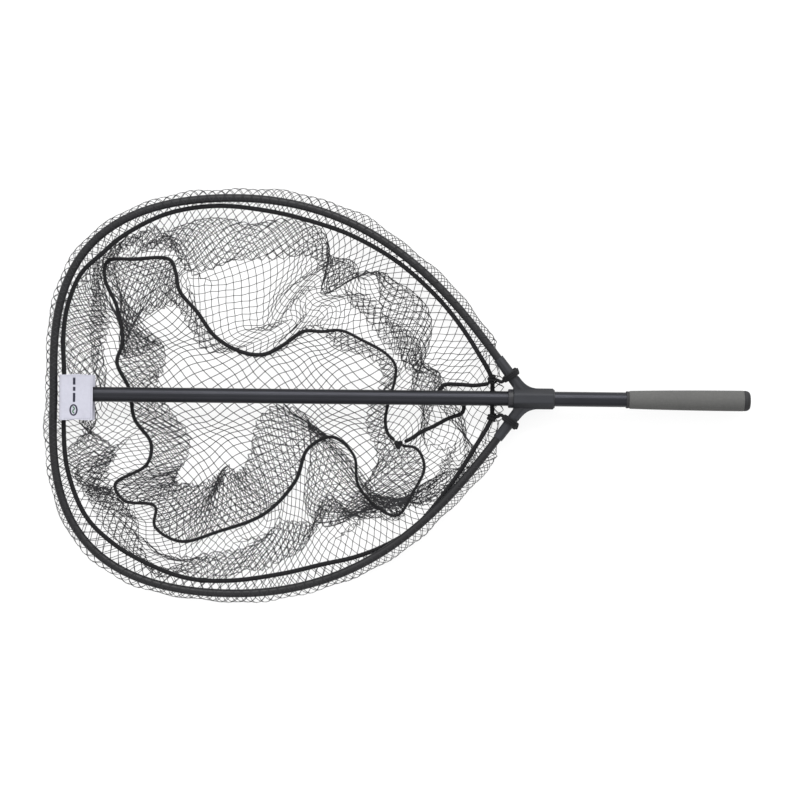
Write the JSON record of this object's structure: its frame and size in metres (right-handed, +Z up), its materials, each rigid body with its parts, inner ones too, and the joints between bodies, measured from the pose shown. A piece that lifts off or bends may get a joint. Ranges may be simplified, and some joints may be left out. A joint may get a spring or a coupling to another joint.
{
  "type": "landing net",
  "caption": "Fishing landing net: teardrop tube hoop on a Y yoke, telescoping handle stowed across the hoop, foam grip, flat-lying coated mesh bag.",
  "frame": {"origin": "on the floor that the net lies on, under the middle of its box in plan", "axes": "+X along the handle towards the grip, +Z up out of the bag's mouth, +Y across the hoop"},
  "size_m": [1.0512, 0.6256, 0.0455],
  "materials": {
    "hoop_coating": "satin black coated aluminium tube",
    "yoke_plastic": "matte dark grey glass-filled nylon",
    "bearing_plastic": "smooth black acetal",
    "steel": "stainless",
    "rope": "black braided polyester",
    "netting": "black rubber-coated knotted mesh",
    "label": "pale grey woven label",
    "handle_anodised": "anthracite anodised",
    "grip_rubber": "black rubber",
    "grip_foam": "grey closed-cell EVA foam"
  },
  "bodies": {
    "head": {"hoop_tube": "hoop_coating", "yoke_body": "yoke_plastic", "front_bush": "bearing_plastic", "rear_bush": "bearing_plastic", "hoop_screw_upper": "steel", "hoop_screw_lower": "steel", "arm_tie_upper": "rope", "arm_tie_lower": "rope", "rope_link_upper": "rope", "rope_link_lower": "rope", "headrope": "rope", "net_side": "netting", "net_front": "netting", "net_bottom": "netting", "bottom_rope": "rope", "side_seam_cord": "rope", "seam_knot": "rope", "label_pocket": "label"},
    "handle": {"handle_tube": "handle_anodised", "tube_end_plug": "bearing_plastic", "grip_collar": "grip_rubber", "grip_foam": "grip_foam", "butt_cap": "grip_rubber", "button_spring": "steel"},
    "lock_button": {"lock_button": "steel"}
  },
  "joints": [
    {"name": "handle_slide", "type": "slide", "parent": "head", "child": "handle", "axis": [1, 0, 0], "range_m": [0, 0.6465]},
    {"name": "lock_button_press", "type": "slide", "parent": "handle", "child": "lock_button", "axis": [0, 0, 1], "range_m": [0, 0.0052], "stiffness_N_per_m": 800, "springref_m": -0.003, "deforming": ["button_spring"]}
  ]
}
